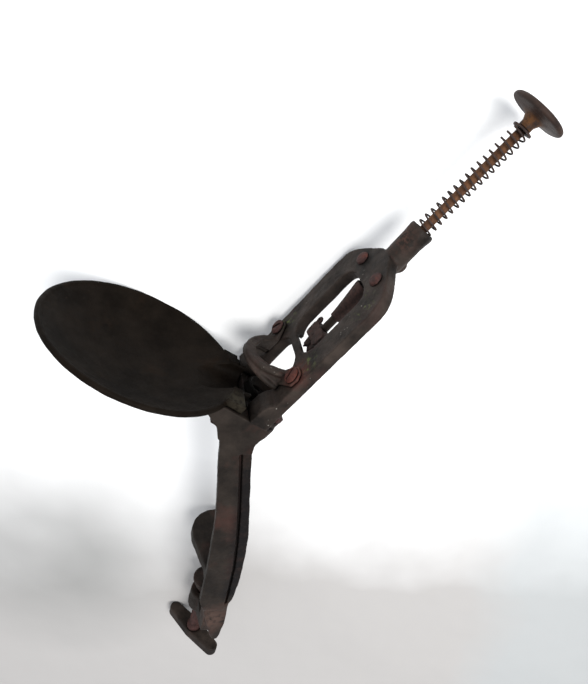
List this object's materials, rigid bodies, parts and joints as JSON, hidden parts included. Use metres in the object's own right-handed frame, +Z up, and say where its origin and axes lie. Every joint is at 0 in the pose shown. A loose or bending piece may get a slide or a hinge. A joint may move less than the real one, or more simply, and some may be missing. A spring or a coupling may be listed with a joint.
{
  "type": "cherry stoner",
  "caption": "Hand-plunger cherry stoner: sprung plunger in a cast-iron frame, sloping oval feed tray, and a leg with a screw clamp for a table edge.",
  "frame": {"origin": "centre of the upper clamp jaw's contact face, on the clamp screw's axis", "axes": "+Z up along the clamp screw, +Y in over the table from the leg, -X towards the feed tray"},
  "size_m": [0.1973, 0.089, 0.3727],
  "materials": {
    "cast_iron": "old dark grey-brown patina with reddish rust in the corners",
    "tray_iron": "near-black brown, worn smooth",
    "rusty_steel": "brown rust over drawn wire",
    "fastener_steel": "dark reddish rust",
    "spring_steel": "dark wire with a dull sheen"
  },
  "bodies": {
    "stand": {"clamp_leg": "cast_iron", "plunger_frame": "cast_iron", "cherry_tray": "tray_iron", "tray_bolt": "fastener_steel", "feed_hood": "cast_iron", "seat_cup": "tray_iron", "rod_guide": "rusty_steel", "hood_screw_near": "fastener_steel", "hood_screw_far": "fastener_steel", "guide_rivet_near": "fastener_steel", "guide_rivet_far": "fastener_steel", "foot_screw_near": "fastener_steel", "foot_screw_far": "fastener_steel", "spring_seat_washer": "spring_steel", "return_spring": "spring_steel"},
    "plunger": {"plunger_rod": "rusty_steel", "plunger_knob": "cast_iron", "knob_washer": "spring_steel", "crosshead": "rusty_steel", "crosshead_pin": "fastener_steel", "pitting_blade": "rusty_steel"},
    "pad": {"swivel_pad": "cast_iron"},
    "screw": {"thumb_screw": "fastener_steel", "thumb_wing": "cast_iron", "wing_pin": "fastener_steel"}
  },
  "joints": [
    {"name": "plunger_slide", "type": "slide", "parent": "stand", "child": "plunger", "axis": [-0.4695, 0, -0.8829], "range_m": [0, 0.033], "stiffness_N_per_m": 400, "springref_m": -0.006, "deforming": ["return_spring"]},
    {"name": "clamp_travel", "type": "slide", "parent": "stand", "child": "pad", "axis": [0, 0, 1], "range_m": [-0.0035, 0.021]},
    {"name": "screw_turn", "type": "hinge", "parent": "pad", "child": "screw", "pos_m": [0, 0, -0.05], "axis": [0, 0, 1], "range_deg": [-510, 3030]}
  ],
  "couplings": [
    {"joint": "screw_turn", "follows": "clamp_travel", "rad_per_m": 2513.3}
  ]
}
